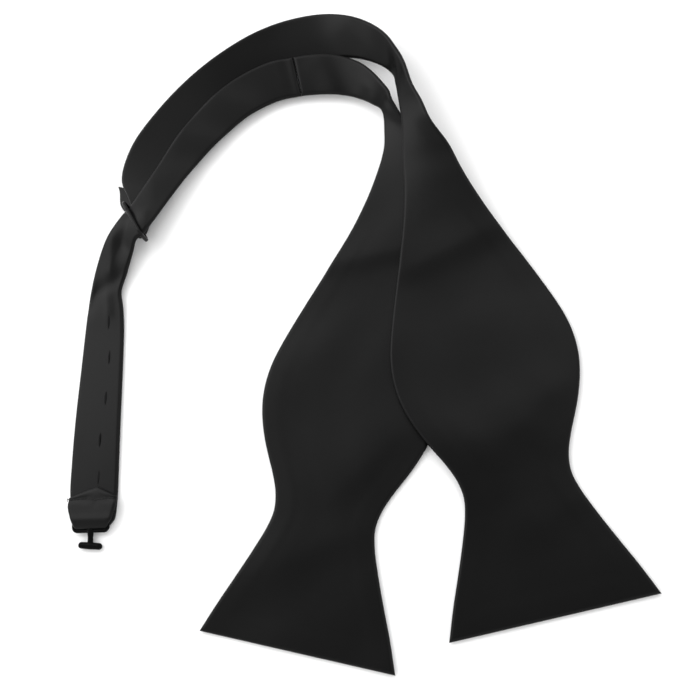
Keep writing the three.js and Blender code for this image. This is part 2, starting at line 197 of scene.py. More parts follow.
# The mesh's rows stand close together at every edge, and less so further in: a station to so many
# millimetres along, or radians of turn. Narrow cloth has its edge steps drawn in to fit.
EDGE_STEPS = np.array([0, 0.08, 0.25, 0.5, 0.8, 1.15, 1.7, 2.5, 3.6, 4.9, 6.2])
STATION = 1.4
STATION_TURN = 0.16
NARROW = 2.2
COLUMNS = 30
MERGE = 0.002
POINT_FADE = 7.0


class Cloth:
    """A length of turned cloth between two edge curves, with distances along and across it."""

    def __init__(self, rows, softness):
        inner, outer = (smooth_curve([row[side] for row in rows]) for side in (0, 1))
        inner, outer = eased(inner, softness), eased(outer, softness)
        middle = (inner + outer) / 2
        travel = np.concatenate([[0], np.cumsum(np.linalg.norm(np.diff(middle, axis=0), axis=1))])
        self.length = travel[-1]
        # Stations stand closer where the cloth turns, as it does round a wire.
        heading = np.gradient(middle, travel, axis=0)
        heading /= np.linalg.norm(heading, axis=1)[:, None]
        bend = np.arccos(np.clip((heading[1:] * heading[:-1]).sum(1), -1, 1))
        effort = travel / STATION + np.concatenate([[0], np.cumsum(bend)]) / STATION_TURN
        first, last = np.interp([EDGE_STEPS[-1], self.length - EDGE_STEPS[-1]], travel, effort)
        body = np.interp(np.linspace(first, last, int(last - first) + 2), effort, travel)
        steps = EDGE_STEPS[:-1]
        self.along = np.concatenate([steps, body, (self.length - steps)[::-1]])
        self.inner, self.outer = (
            np.stack([np.interp(self.along, travel, side[:, k]) for k in range(3)], 1)
            for side in (inner, outer))
        middle = (self.inner + self.outer) / 2
        ahead = np.gradient(middle, self.along, axis=0)
        self.ahead = ahead / np.linalg.norm(ahead, axis=1)[:, None]
        across = self.outer - self.inner
        self.width = np.linalg.norm(across, axis=1)
        self.across = across / self.width[:, None]
        up = np.cross(self.across, ahead)
        self.up = up / np.linalg.norm(up, axis=1)[:, None]

    def grid(self):
        """Each station's distances from the inner edge, as one row of the sheet."""
        rows = []
        for width in self.width:
            steps = EDGE_STEPS * min(1.0, width / (NARROW * EDGE_STEPS[-1]))
            body = np.linspace(steps[-1], width - steps[-1], COLUMNS)
            rows.append(np.concatenate([steps[:-1], body, (width - steps[:-1])[::-1]]))
        return np.array(rows)

    def place(self, u, x, height):
        """The point at distance u from the start, x off the middle and height over the underside."""
        sides = (self.inner, self.outer, self.across, self.up)
        inner, outer, across, up = (
            np.array([np.interp(u, self.along, side[:, k]) for k in range(3)]) for side in sides)
        return (inner + outer) / 2 + across * x + up * height

    def mesh(self, name, folds, waver, seed, thick=((0, CLOTH_THICK),), point=None):
        """The closed mesh, with its cloth coordinates as a UV map in metres.

        folds shift the cloth off its curve, waver is the height of its swells, thick is [distance,
        thickness], and point gives how far the end reaches on at each x.
        """
        # At each vertex, d is the distance from the inner edge, u from the start, x off the middle.
        d = self.grid()
        u = np.repeat(self.along[:, None], d.shape[1], 1)
        width = self.width[:, None]
        border = np.minimum(np.minimum(d, width - d), np.minimum(u, self.length - u))
        swell = np.sqrt(np.clip(1 - (1 - np.clip(border / EDGE_ROLL, 0, 1)) ** 2, 0, 1))
        step = np.clip((border - TURNINGS) / TURNING_STEP, 0, 1)
        clear = np.clip((width - TURNINGS_MEET) / (TURNINGS_CLEAR - TURNINGS_MEET), 0, 1)
        step = step * step * (3 - 2 * step) * clear
        full = np.interp(u, *np.array(thick, float).T)
        half = full / 2 * swell * (1 - TURNING_THINS * step)
        x = d - width / 2
        shift = np.zeros_like(d)
        for fold in folds:
            shift += fold(u, x)
        for i in range(d.shape[0]):
            for k in range(d.shape[1]):
                place = Vector((u[i, k] / WAVER_ALONG, d[i, k] / WAVER_ACROSS, seed))
                shift[i, k] += waver * (0.5 + noise.noise(place))
        base = self.inner[:, None, :] + self.across[:, None, :] * d[:, :, None]
        if point:
            fade = np.clip((u - self.length + POINT_FADE) / POINT_FADE, 0, 1)
            base = base + self.ahead[:, None, :] * (point(x) * fade)[:, :, None]
        lift = self.up[:, None, :]
        underside = base + lift * (shift + full / 2)[:, :, None]
        high = underside + lift * half[:, :, None]
        low = underside - lift * half[:, :, None]
        low[:, :, 2] = np.maximum(low[:, :, 2], 0.0)
        high[:, :, 2] = np.maximum(high[:, :, 2], 0.0)
        rows, columns = d.shape
        points = np.vstack([high.reshape(-1, 3), low.reshape(-1, 3)]) * mm
        faces = []
        below = rows * columns
        for i in range(rows - 1):
            for k in range(columns - 1):
                a = i * columns + k
                b, c, e = a + columns, a + columns + 1, a + 1
                faces.append((a, e, c, b))
                faces.append((a + below, b + below, c + below, e + below))
        mesh = bpy.data.meshes.new(name)
        mesh.from_pydata(points.tolist(), [], faces)
        coords = np.stack([d.ravel(), u.ravel()], 1) * mm
        coords = np.vstack([coords, coords])
        layer = mesh.uv_layers.new(name="cloth")
        loops = np.zeros(len(mesh.loops), np.int32)
        mesh.loops.foreach_get("vertex_index", loops)
        layer.data.foreach_set("uv", coords[loops].ravel())
        shape = bmesh.new()
        shape.from_mesh(mesh)
        bmesh.ops.remove_doubles(shape, verts=shape.verts, dist=MERGE * mm)
        bmesh.ops.recalc_face_normals(shape, faces=shape.faces)
        shape.to_mesh(mesh)
        shape.free()
        mesh.shade_smooth()
        return mesh


def show(name, mesh, material):
    """Adds an object with that mesh and finish, and returns it."""
    mesh.materials.clear()
    mesh.materials.append(material)
    piece = bpy.data.objects.new(name, mesh)
    bpy.context.scene.collection.objects.link(piece)
    return piece


def satin_weave():
    """Long warp floats of satin: fine streaks along the cloth, with a slow drift in tone."""
    group = bpy.data.node_groups.new("satin weave", "ShaderNodeTree")
    made = group.interface.new_socket
    made("Tone", in_out="INPUT", socket_type="NodeSocketFloat").default_value = 0.01
    made("Roughness", in_out="INPUT", socket_type="NodeSocketFloat").default_value = 0.4
    made("Color", in_out="OUTPUT", socket_type="NodeSocketColor")
    made("Roughness", in_out="OUTPUT", socket_type="NodeSocketFloat")
    made("Height", in_out="OUTPUT", socket_type="NodeSocketFloat")
    nodes, link = group.nodes, group.links.new
    given, result = nodes.new("NodeGroupInput"), nodes.new("NodeGroupOutput")
    coords = nodes.new("ShaderNodeUVMap")
    coords.uv_map = "cloth"
    # Floats: 0.12 mm wide and about 1 mm long.
    stretch = nodes.new("ShaderNodeMapping")
    stretch.inputs["Scale"].default_value = (8300, 1000, 1)
    floats = nodes.new("ShaderNodeTexNoise")
    floats.inputs["Scale"].default_value = 1.0
    floats.inputs["Detail"].default_value = 1.0
    link(coords.outputs["UV"], stretch.inputs["Vector"])
    link(stretch.outputs["Vector"], floats.inputs["Vector"])
    link(floats.outputs["Fac"], result.inputs["Height"])
    drift = nodes.new("ShaderNodeTexNoise")
    drift.inputs["Scale"].default_value = 60.0
    drift.inputs["Detail"].default_value = 2.0
    link(coords.outputs["UV"], drift.inputs["Vector"])
    tone_range = nodes.new("ShaderNodeMapRange")
    tone_range.inputs["To Min"].default_value = 0.75
    tone_range.inputs["To Max"].default_value = 1.25
    link(drift.outputs["Fac"], tone_range.inputs["Value"])
    tone = nodes.new("ShaderNodeMath")
    tone.operation = "MULTIPLY"
    link(tone_range.outputs["Result"], tone.inputs[0])
    link(given.outputs["Tone"], tone.inputs[1])
    link(tone.outputs[0], result.inputs["Color"])
    rough_range = nodes.new("ShaderNodeMapRange")
    rough_range.inputs["To Min"].default_value = -0.05
    rough_range.inputs["To Max"].default_value = 0.05
    link(floats.outputs["Fac"], rough_range.inputs["Value"])
    rough = nodes.new("ShaderNodeMath")
    link(rough_range.outputs["Result"], rough.inputs[0])
    link(given.outputs["Roughness"], rough.inputs[1])
    link(rough.outputs[0], result.inputs["Roughness"])
    return group


SATIN_WEAVE = satin_weave()


def satin(name, tone, roughness):
    """Satin with the given darkness and gloss."""
    material = bpy.data.materials.new(name)
    material.use_nodes = True
    tree = material.node_tree
    shader = tree.nodes["Principled BSDF"]
    weave = tree.nodes.new("ShaderNodeGroup")
    weave.node_tree = SATIN_WEAVE
    weave.inputs["Tone"].default_value = tone
    weave.inputs["Roughness"].default_value = roughness
    bump = tree.nodes.new("ShaderNodeBump")
    bump.inputs["Distance"].default_value = 0.02 * mm
    bump.inputs["Strength"].default_value = 0.35
    tree.links.new(weave.outputs["Height"], bump.inputs["Height"])
    tree.links.new(bump.outputs["Normal"], shader.inputs["Normal"])
    tree.links.new(weave.outputs["Color"], shader.inputs["Base Color"])
    tree.links.new(weave.outputs["Roughness"], shader.inputs["Roughness"])
    shader.inputs["Specular IOR Level"].default_value = 0.12
    return material


CREASE_FADE = 2.2


def crease(u0, x0, u1, x1, width, depth, far=None):
    """A soft ridge (or furrow, where depth is negative) from one place on the cloth to another.

    width is its slope's width on the side of the start of the cloth, and far on the other side.
    Past its two ends it fades out.
    """
    start, end = np.array([u0, x0], float), np.array([u1, x1], float)
    run = end - start
    length = np.linalg.norm(run)
    run /= length

    def shift(u, x):
        du, dx = u - start[0], x - start[1]
        t = du * run[0] + dx * run[1]
        off = du * run[1] - dx * run[0]
        reach = np.where(off > 0, far or width, width)
        beyond = np.maximum(np.maximum(-t, t - length), 0)
        return depth * np.exp(-(off / reach) ** 2 / 2 - (beyond / (CREASE_FADE * width)) ** 2)

    return shift


BACK_HEM, BACK_HEADING = (-15.9, -117.5), 77.7
BACK_LIFT = [(0, 0, 0), (150, 0, 0.1), (160, 0.2, 0.9), (170, 0.5, 1.9)]
INNER_STRAP = [
    ((16.1, 65.2, 1), (27.2, 64.2, 3.2)), ((16.7, 74.2, 1.5), (26.2, 72.1, 5.2)),
    ((17.1, 79.9, 2), (23.1, 78.1, 7.4)), ((16.2, 82.5, 2.5), (20.8, 82.7, 8.7)),
    ((14.2, 83.6, 2.8), (19.8, 86.1, 8.8)), ((11.7, 84.8, 3), (17.8, 89.2, 8.7)),
    ((8.1, 87, 2.6), (13.7, 95, 8.2)), ((3.7, 89.2, 2.2), (8.8, 100.2, 7.4)),
    ((-1.9, 90.8, 2), (1.9, 104.5, 6.7)), ((-8.9, 91.8, 1.9), (-6.2, 107.1, 6.2)),
    ((-13.4, 92.1, 1.9), (-14.2, 107.8, 5.9)), ((-16.3, 92.1, 1.9), (-19.3, 107.7, 5.7)),
]
black_satin = satin("black_satin", tone=0.0023, roughness=0.33)
back_rows = blade_rows(BACK_HEM, BACK_HEADING, BACK_LIFT) + INNER_STRAP
back_cloth = Cloth(back_rows, softness=5)
BACK_FOLDS = [
    crease(138, -17, 147, 8, 4, 0.7, far=12), crease(58, 4, 74, 16, 5, 0.5, far=9),
    crease(200.5, -4.1, 208.9, -3.3, 1.4, 0.35), crease(208.9, -3.3, 214.5, -0.6, 1.8, 0.3),
    crease(30, -9, 40, 6, 5, 0.4, far=8), crease(232, -5, 238, 4, 2.4, 0.3, far=4),
]
back_mesh = back_cloth.mesh("back_half", BACK_FOLDS, waver=0.35, seed=1.7)
back_half = show("back_half", back_mesh, black_satin)
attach(back_half, "neckband")
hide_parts("back_blade_backing", "back_blade_interlining", "back_blade_face")


# ---- Front half: the front blade and the outer strap, one length of cloth ----
# Cut from the same pattern as the back half. The blade lies over the back one, and the strap
# stands on its edge in the bend, then leans outward beside the inner strap down to the ring.
FRONT_HEM, FRONT_HEADING = (68, -107.8), 102.05
FRONT_LIFT = [
    (0, 0, 0), (36, 0.1, 0), (50, 1.4, 0), (60, 2.7, 0), (68, 3, 0), (112, 3.1, 0.2),
    (125, 3.4, 1), (140, 4, 3), (155, 4.8, 6), (170, 5.4, 9),
]
OUTER_STRAP = [
    ((24.4, 71.9, 7.7), (35.5, 69.3, 12.8)), ((23.7, 79.1, 7.8), (32.7, 77.1, 13.2)),
    ((23.1, 86.1, 7.3), (29.2, 85.1, 13.4)), ((22.6, 92.3, 6.4), (26.8, 94.1, 13.2)),
    ((20.4, 96.1, 5.4), (23.6, 102.1, 12.6)), ((17.4, 99.1, 5), (19.2, 109.3, 12.2)),
    ((11.4, 102.9, 4.4), (13.8, 114.9, 11.2)), ((3.2, 106.1, 3.4), (5.8, 120.1, 10.2)),
    ((-6.8, 107.1, 2.6), (-6.6, 124.3, 8.4)), ((-19.2, 106.7, 2), (-22.6, 124.1, 7.6)),
    ((-31.2, 105.1, 1.8), (-35.2, 120.9, 7)), ((-41.6, 101.1, 1.8), (-46.6, 115.3, 6.6)),
    ((-51.2, 94.3, 2), (-57.5, 107.9, 6.4)), ((-59.8, 85.7, 2.2), (-67.5, 99, 6.2)),
    ((-66.8, 75.7, 2.4), (-76.9, 88.1, 6)), ((-71.8, 64.7, 2.4), (-85.3, 75.5, 5.4)),
    ((-74.8, 52.7, 2.7), (-88.9, 61.5, 4.4)), ((-76.6, 43.4, 3.5), (-85.6, 53.6, 4.1)),
    ((-78.4, 38.4, 4.1), (-83.6, 47.5, 4.1)),
]


def joint_place(name):
    """Where the frame has a joint, in metres."""
    return next(joint["pos_m"] for joint in frame["joints"] if joint["name"] == name)


# The strap's end goes round the slide ring's lower bar and lies back under itself.
BAR_ALONG = np.array([0.4939, -0.8695])
BAR_ASIDE = np.array([0.8695, 0.4939])
BAR_TURN = 1.12
LOOP_REACH = (4.6, 5.8)
bar_x, bar_y, bar_z = (value / mm for value in joint_place("ring_pivot"))
STRAP_TURN = []
for angle in range(25, 181, 26):
    aside = -BAR_TURN * math.sin(math.radians(angle)) * BAR_ASIDE
    height = bar_z + BAR_TURN * math.cos(math.radians(angle))
    middle = np.array([bar_x, bar_y]) + aside
    STRAP_TURN.append(((*(middle + LOOP_REACH[0] * BAR_ALONG), height),
                       (*(middle - LOOP_REACH[1] * BAR_ALONG), height)))
TURNED_UNDER = [
    ((-77.6, 42.6, 1.85), (-88.2, 49.6, 1.85)), ((-77.6, 47.0, 1.85), (-90.6, 53.2, 1.9)),
    ((-77.8, 54.0, 1.85), (-91.2, 58.8, 2.1)), ((-78.0, 56.6, 1.85), (-92.0, 61.2, 2.2)),
]
front_rows = blade_rows(FRONT_HEM, FRONT_HEADING, FRONT_LIFT) + OUTER_STRAP
front_cloth = Cloth(front_rows + STRAP_TURN + TURNED_UNDER, softness=10)
FRONT_FOLDS = [
    crease(130, -14, 136, 14, 4.5, 0.8, far=13), crease(54, -12, 72, 17, 5, 0.6, far=9),
    crease(30, 5, 34, 14, 4, 0.4, far=7),
    crease(203, -3.6, 214, 4.0, 1.4, 0.35, far=3), crease(228, -4, 236, 5, 3, 0.5, far=6),
]
front_mesh = front_cloth.mesh("front_half", FRONT_FOLDS, waver=0.35, seed=5.1)
front_half = show("front_half", front_mesh, black_satin)
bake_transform(front_half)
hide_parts("front_blade_backing", "front_blade_interlining", "front_blade_face",
            "front_strap_backing", "front_strap_interlining", "front_strap_face",
            "strap_end_loop")


# ---- Adjuster strap, tail and flap: one turned length sewn on at the cross seam ----
# It runs through the slide ring, bunched to the ring's width, and its loose tail lies down to the
# hook. Its pointed end goes round the hook's base bar and is stitched down on the tail as a flap.
ADJUSTER = [
    ((-16.38, 92.1, 1.9), (-19.38, 107.7, 5.7)), ((-25.8, 91.1, 2), (-29.1, 107.1, 5.5)),
    ((-37.6, 85.7, 2.1), (-43.6, 101.1, 5.2)), ((-48.4, 76.6, 2.4), (-56, 90.7, 5.2)),
    ((-59.1, 64.3, 3.2), (-67.1, 76.5, 5.5)), ((-67.6, 51.3, 4.8), (-75.4, 61.4, 5.9)),
    ((-72.3, 43.3, 5.8), (-79.7, 54.1, 6.3)), ((-77.0, 36.0, 6.4), (-83.7, 47.5, 6.4)),
    ((-79.9, 34.4, 5.7), (-86.5, 45.2, 5.7)),
]
TAIL = [
    ((-81.6, 29.9, 4.2), (-92.8, 37.1, 4.2)), ((-84.2, 22.6, 2.6), (-96.8, 27.1, 2.2)),
    ((-86.5, 15.4, 1.2), (-99.2, 16.1, 0.9)), ((-85.6, 8.7, 0.5), (-100, 10.1, 0.3)),
    ((-84.9, 0.7, 0), (-100.4, 1.9, 0)), ((-84.2, -14.3, 0), (-100.8, -12.9, 0)),
    ((-83.5, -34.3, 0), (-101.3, -33.7, 0)), ((-82.8, -52.3, 0), (-101.2, -52.3, 0)),
    ((-82.4, -64.3, 0), (-100.8, -62.3, 0)), ((-82.5, -69.3, 0.05), (-99.4, -69.3, 0.05)),
]
# The cloth draws in as it turns round the hook's base bar: on each side, its reach from the
# bar's middle where the turn starts and where it is furthest out.
pivot_x, pivot_y, pivot_z = (value / mm for value in joint_place("hook_pivot"))
FOLD_REACH, FOLD_HALF_HEIGHT = 3.55, 2.0
FOLD_RIGHT, FOLD_LEFT = (8.5, 6.3), (7.3, 5.9)
FOLD = []
for angle in range(-90, 91, 20):
    reach = max(math.cos(math.radians(angle)), 0)
    y = pivot_y - FOLD_REACH * reach
    z = pivot_z + FOLD_HALF_HEIGHT * math.sin(math.radians(angle))
    right_side = FOLD_RIGHT[0] + (FOLD_RIGHT[1] - FOLD_RIGHT[0]) * reach
    left_side = FOLD_LEFT[0] + (FOLD_LEFT[1] - FOLD_LEFT[0]) * reach
    FOLD.append(((pivot_x + right_side, y, z), (pivot_x - left_side, y, z)))
FLAP = [
    ((-82.3, -69.6, 4.2), (-99.3, -69.6, 4.2)), ((-81.7, -67.2, 4.1), (-100.0, -67.2, 4.1)),
    ((-81.6, -65.2, 4.0), (-100.1, -65.0, 4.0)), ((-81.7, -63.6, 3.9), (-99.9, -62.9, 3.9)),
]
FLAP_HALF = 9
FLAP_POINT, FLAP_POINT_X = 3.2, -1.6
# The flap's left corner reaches less far than its right one.
FLAP_CORNER_DROP, FLAP_CORNER_X = 1.0, 2


def flap_point(x):
    """How far the flap's chevron reaches past its corners."""
    slope = np.where(x < FLAP_POINT_X, (x + FLAP_HALF) / (FLAP_HALF + FLAP_POINT_X),
                     (FLAP_HALF - x) / (FLAP_HALF - FLAP_POINT_X))
    corner = np.clip((x - FLAP_CORNER_X) / (FLAP_HALF - FLAP_CORNER_X), 0, 1)
    return FLAP_POINT * np.clip(slope, 0, 1) - FLAP_CORNER_DROP * corner


TAIL_THICK = [(0, 1.8), (150, 1.8), (212, 1.5), (218, 1.15), (240, 1.2)]
tail_cloth = Cloth(ADJUSTER + TAIL + FOLD + FLAP, softness=6)
tail_end = tail_cloth.length
# How far the flap's stitch line lies inside its end, at each x.
STITCH_INSET = ([-8.6, FLAP_POINT_X, 8.6], [1.4, 3.4, 1.0])
GROOVE_DEPTH, GROOVE_WIDTH = 0.28, 0.45


def stitch_groove(u, x):
    """The furrow that the flap's stitching pulls down, nearly straight under the chevron."""
    off = u - (tail_end - np.interp(x, *STITCH_INSET))
    return GROOVE_DEPTH * np.exp(-(off / GROOVE_WIDTH) ** 2 / 2)


TAIL_FOLDS = [
    crease(3.5, -6.5, 3.5, 6.5, 1.2, -0.15), crease(86, -3, 95, 2, 1.6, 0.5, far=3),
    crease(93, 1.5, 100, -1.5, 1.8, -0.5), crease(101, 4, 112, 0, 1.6, 0.5),
    crease(112, -6, 118, 0, 2.5, -0.35), crease(121, 4, 127, 6.5, 1.6, -0.35),
    crease(122, -1, 128, -1.5, 1.2, 0.3), crease(24, -5, 33, 5, 4, 0.45, far=8),
    crease(44, -6, 52, 5, 3.5, 0.5, far=7), crease(62, -5, 73, 4, 3, 0.45, far=6),
    stitch_groove,
]
tail_mesh = tail_cloth.mesh("adjuster_tail", TAIL_FOLDS, waver=0.12, seed=9.3, thick=TAIL_THICK,
                            point=flap_point)
adjuster_tail = show("adjuster_tail", tail_mesh, black_satin)

# Buttonholes are cut through the tail: [x, y, how far the slit gapes]. Each cut is wider than its
# slit by the rim, which the edging fills, and the edges of its walls stay sharp.
BUTTONHOLES = [
    (-90.8, 3.0, 0.2), (-89.5, -11.0, 0.2), (-89.6, -26.9, 0.2), (-90.5, -42.7, 0.28),
    (-89.9, -56.7, 0.1),
]
SLIT_HALF = 2.3
SLIT_RIM = 0.35
SLIT_SIDES = 40
KNIFE_LOW, KNIFE_HIGH = -3.0, 6.0
SHARP_EDGE = math.radians(60)
knife_shape = bmesh.new()
slit_turns = np.linspace(0, 2 * math.pi, SLIT_SIDES, endpoint=False)
for x, y, gape in BUTTONHOLES:
    outline = np.stack([(gape / 2 + SLIT_RIM) * np.cos(slit_turns),
                        (SLIT_HALF + SLIT_RIM) * np.sin(slit_turns)], 1)
    ends = [[knife_shape.verts.new(((x + dx) * mm, (y + dy) * mm, z * mm)) for dx, dy in outline]
            for z in (KNIFE_LOW, KNIFE_HIGH)]
    knife_shape.faces.new(reversed(ends[0]))
    knife_shape.faces.new(ends[1])
    for k in range(SLIT_SIDES):
        after = (k + 1) % SLIT_SIDES
        knife_shape.faces.new((ends[0][k], ends[0][after], ends[1][after], ends[1][k]))
knife_mesh = bpy.data.meshes.new("knife")
knife_shape.to_mesh(knife_mesh)
knife_shape.free()
knife = bpy.data.objects.new("knife", knife_mesh)
bpy.context.scene.collection.objects.link(knife)
cutting = adjuster_tail.modifiers.new("slits", "BOOLEAN")
cutting.operation = "DIFFERENCE"
cutting.solver = "EXACT"
cutting.object = knife
ready = adjuster_tail.evaluated_get(bpy.context.evaluated_depsgraph_get())
slit_mesh = bpy.data.meshes.new_from_object(ready)
slit_mesh.set_sharp_from_angle(angle=SHARP_EDGE)
adjuster_tail.modifiers.clear()
adjuster_tail.data = slit_mesh
bpy.data.objects.remove(knife)

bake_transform(adjuster_tail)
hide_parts("adjuster_backing", "adjuster_interlining", "adjuster_face",
            "tail_backing", "tail_interlining", "tail_face", "end_flap")


# ---- Cross seam: ladder stitches that close the joint between the two straps ----
# Black cotton thread, drawn down into the groove between the rolled edges. It goes from one
# edge to the other and back along the whole seam.

# A domed end, as [distance past the end, share of the radius], from its tip.
DOME = [(0.98, 0.2), (0.75, 0.66), (0.4, 0.92)]


def tube(route, radius, sides, closed=False):
    """Points and faces of a round strand along a route; open ends are domed."""
    route = np.array(route, float)
    radii = np.broadcast_to(np.array(radius, float), (len(route),)).copy()
    if not closed:
        first, last = route[1] - route[0], route[-1] - route[-2]
        first, last = first / np.linalg.norm(first), last / np.linalg.norm(last)
        head = [route[0] - first * radii[0] * out for out, _ in DOME]
        foot = [route[-1] + last * radii[-1] * out for out, _ in DOME[::-1]]
        route = np.vstack([head, route, foot])
        radii = np.concatenate([[radii[0] * share for _, share in DOME], radii,
                                [radii[-1] * share for _, share in DOME[::-1]]])
    ahead = np.roll(route, -1, 0) - np.roll(route, 1, 0) if closed else np.gradient(route, axis=0)
    ahead /= np.linalg.norm(ahead, axis=1)[:, None]
    side = np.cross(ahead[0], (0, 0, 1) if abs(ahead[0][2]) < 0.9 else (1, 0, 0))
    points, faces = [], []
    turns = np.linspace(0, 2 * math.pi, sides, endpoint=False)
    for i, (middle, way) in enumerate(zip(route, ahead)):
        side = side - way * np.dot(side, way)
        side /= np.linalg.norm(side)
        other = np.cross(way, side)
        for turn in turns:
            points.append(middle + radii[i] * (math.cos(turn) * side + math.sin(turn) * other))
    count = len(route)
    for i in range(count if closed else count - 1):
        for k in range(sides):
            a, b = i * sides + k, i * sides + (k + 1) % sides
            c, e = (i + 1) % count * sides + k, (i + 1) % count * sides + (k + 1) % sides
            faces.append((a, b, e, c))
    if not closed:
        faces.append(tuple(range(sides))[::-1])
        faces.append(tuple((count - 1) * sides + k for k in range(sides)))
    return points, faces


def joined(name, parts):
    """One mesh in metres from several sets of points and faces."""
    points, faces = [], []
    for more_points, more_faces in parts:
        base = len(points)
        points.extend(tuple(np.array(point) * mm) for point in more_points)
        faces.extend(tuple(base + k for k in face) for face in more_faces)
    mesh = bpy.data.meshes.new(name)
    mesh.from_pydata(points, [], faces)
    shape = bmesh.new()
    shape.from_mesh(mesh)
    bmesh.ops.recalc_face_normals(shape, faces=shape.faces)
    shape.to_mesh(mesh)
    shape.free()
    mesh.shade_smooth()
    return mesh


def cotton_thread():
    """Dull black cotton, its fuzz a fine change of tone and a fine bump."""
    material = bpy.data.materials.new("cotton_thread")
    material.use_nodes = True
    tree = material.node_tree
    shader = tree.nodes["Principled BSDF"]
    coords = tree.nodes.new("ShaderNodeTexCoord")
    fuzz = tree.nodes.new("ShaderNodeTexNoise")
    fuzz.inputs["Scale"].default_value = 4000
    tree.links.new(coords.outputs["Object"], fuzz.inputs["Vector"])
    tones = tree.nodes.new("ShaderNodeMapRange")
    tones.inputs["To Min"].default_value = 0.006
    tones.inputs["To Max"].default_value = 0.016
    tree.links.new(fuzz.outputs["Fac"], tones.inputs["Value"])
    tree.links.new(tones.outputs["Result"], shader.inputs["Base Color"])
    bump = tree.nodes.new("ShaderNodeBump")
    bump.inputs["Distance"].default_value = 0.03 * mm
    tree.links.new(fuzz.outputs["Fac"], bump.inputs["Height"])
    tree.links.new(bump.outputs["Normal"], shader.inputs["Normal"])
    shader.inputs["Roughness"].default_value = 0.7
    shader.inputs["Specular IOR Level"].default_value = 0.2
    return material


thread_black = cotton_thread()
LADDER_RUNGS = 12
LADDER_HALF, LADDER_INSET, LADDER_HEIGHT = 6.8, 0.5, 1.45
RUNG_SINK, RUN_SINK = np.array([0, 0, 0.25]), np.array([0, 0, 0.35])
THREAD_RADIUS, THREAD_SIDES = 0.13, 8
ladder = []
rung_places = np.linspace(-LADDER_HALF, LADDER_HALF, LADDER_RUNGS)
inner_edge = back_cloth.length - LADDER_INSET
strap_side = [back_cloth.place(inner_edge, x, LADDER_HEIGHT) for x in rung_places]
adjuster_side = [tail_cloth.place(LADDER_INSET, x, LADDER_HEIGHT) for x in rung_places]
for k, (a, b) in enumerate(zip(strap_side, adjuster_side)):
    low_middle = (a + b) / 2 - RUNG_SINK
    rung = [a, (a + low_middle) / 2, low_middle, (b + low_middle) / 2, b]
    ladder.append(tube(rung, THREAD_RADIUS, THREAD_SIDES))
    if k + 1 < LADDER_RUNGS:
        run_on = adjuster_side[k + 1] if k % 2 else strap_side[k + 1]
        from_here = b if k % 2 else a
        run = [from_here, (from_here + run_on) / 2 - RUN_SINK, run_on]
        ladder.append(tube(run, THREAD_RADIUS, THREAD_SIDES))
cross_stitches = show("cross_seam_stitches", joined("cross_seam_stitches", ladder), thread_black)
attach(cross_stitches, "neckband")
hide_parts("cross_seam_thread")


# ---- Buttonhole edging: close purl stitches round each slit ----
# The same thread, worked over the cut edge from face to back, nearly flush with the cloth.
PURLS, PURL_STEPS = 34, 4
EDGING_SIDES = 12
EDGING_HALF, EDGING_SINK = 0.2, 0.02
PURL_WIDE, PURL_TALL = 0.03, 0.05
# Along the tail, as [y, value]: the height of its underside, and its thickness.
TAIL_RISE = ([0.7, 8.7], [0.0, 0.42])
TAIL_DEPTH = ([-65, -55, 5], [1.5, 1.6, 1.8])
for number, (x, y, gape) in enumerate(BUTTONHOLES, 1):
    half_wide, half_long = gape / 2 + EDGING_HALF, SLIT_HALF + EDGING_HALF
    turns = np.linspace(0, 2 * math.pi, PURL_STEPS * PURLS, endpoint=False)
    points, faces = [], []
    for i, turn in enumerate(turns):
        out = np.array([math.cos(turn) * half_long, math.sin(turn) * half_wide])
        out /= np.linalg.norm(out)
        centre = np.array([half_wide * math.cos(turn), half_long * math.sin(turn)])
        ridge = 0.5 + 0.5 * math.cos(2 * math.pi * i / PURL_STEPS)
        base_z = np.interp(y + centre[1], *TAIL_RISE)
        thick = np.interp(y + centre[1], *TAIL_DEPTH)
        for k in range(EDGING_SIDES):
            around = 2 * math.pi * k / EDGING_SIDES
            wide = math.cos(around) * (EDGING_HALF + PURL_WIDE * ridge)
            tall = math.sin(around) * (thick / 2 - EDGING_SINK + PURL_TALL * ridge)
            points.append((x + centre[0] + out[0] * wide, y + centre[1] + out[1] * wide,
                           max(base_z + thick / 2 + tall, 0.0)))
            a, b = i * EDGING_SIDES + k, i * EDGING_SIDES + (k + 1) % EDGING_SIDES
            after = (i + 1) % len(turns) * EDGING_SIDES
            faces.append((a, b, after + (k + 1) % EDGING_SIDES, after + k))
    name = f"buttonhole_edging_{number}"
    edging = show(name, joined(name, [(points, faces)]), thread_black)
    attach(edging, "tail")
    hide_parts(f"buttonhole_{number}")


# ---- Flap stitching: running stitches inside the chevron, with a loose end at the left ----
# The thread is doubled and pulls the flap down a little where it goes through.
STITCHES = 13
STITCH_SPAN, STITCH_HALF, STITCH_RADIUS = 8, 0.4, 0.14
# One stitch, as [share of its half-length, depth under the flap's upper face].
STITCH_PATH = [(-1, 0.5), (-1, 0.2), (0, 0.1), (1, 0.2), (1, 0.5)]
# The loose end, as steps from the left end of the stitch line.
LOOSE_START = 8.6
LOOSE_END = [(0.4, 0, -0.3), (-0.2, 0.1, 0), (-0.8, 0.5, -0.3), (-1.3, 0.4, -1.0), (-1.6, -0.2, -1.7)]


def on_stitch_line(x, depth):
    """A point on the flap's stitch line. The flap is turned over, so its upper face is at 0."""
    inset = float(np.interp(x, *STITCH_INSET))
    reach = float(flap_point(np.array(x))) * (1 - inset / POINT_FADE)
    return tail_cloth.place(tail_end - inset, x, depth) + tail_cloth.ahead[-1] * reach


